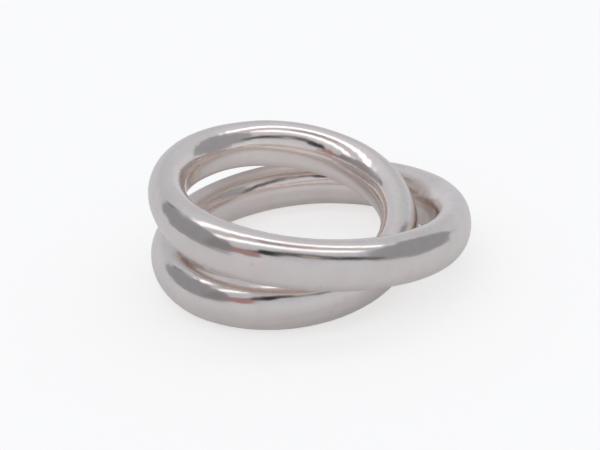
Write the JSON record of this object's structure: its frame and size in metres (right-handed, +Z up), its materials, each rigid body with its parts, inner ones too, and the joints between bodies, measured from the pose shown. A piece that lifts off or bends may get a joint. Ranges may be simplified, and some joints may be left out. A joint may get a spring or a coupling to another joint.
{
  "type": "silver finger ring",
  "caption": "Polished finger ring of one endless oval silver strand that winds twice round the finger, its turns crossing on one side and stacked on the other.",
  "frame": {"origin": "on the surface that the ring lies on, below the middle of the ring's outer box", "axes": "+Z up from the surface; +X towards the side where the two turns lie side by side; +Y towards the back; the ring's own finger axis leans 5.9 degrees from +Z towards +X, as the ring comes to rest by itself"},
  "size_m": [0.0302, 0.031, 0.0127],
  "materials": {
    "silver": "polished"
  },
  "bodies": {
    "root": {"ring_band": "silver"}
  },
  "joints": []
}
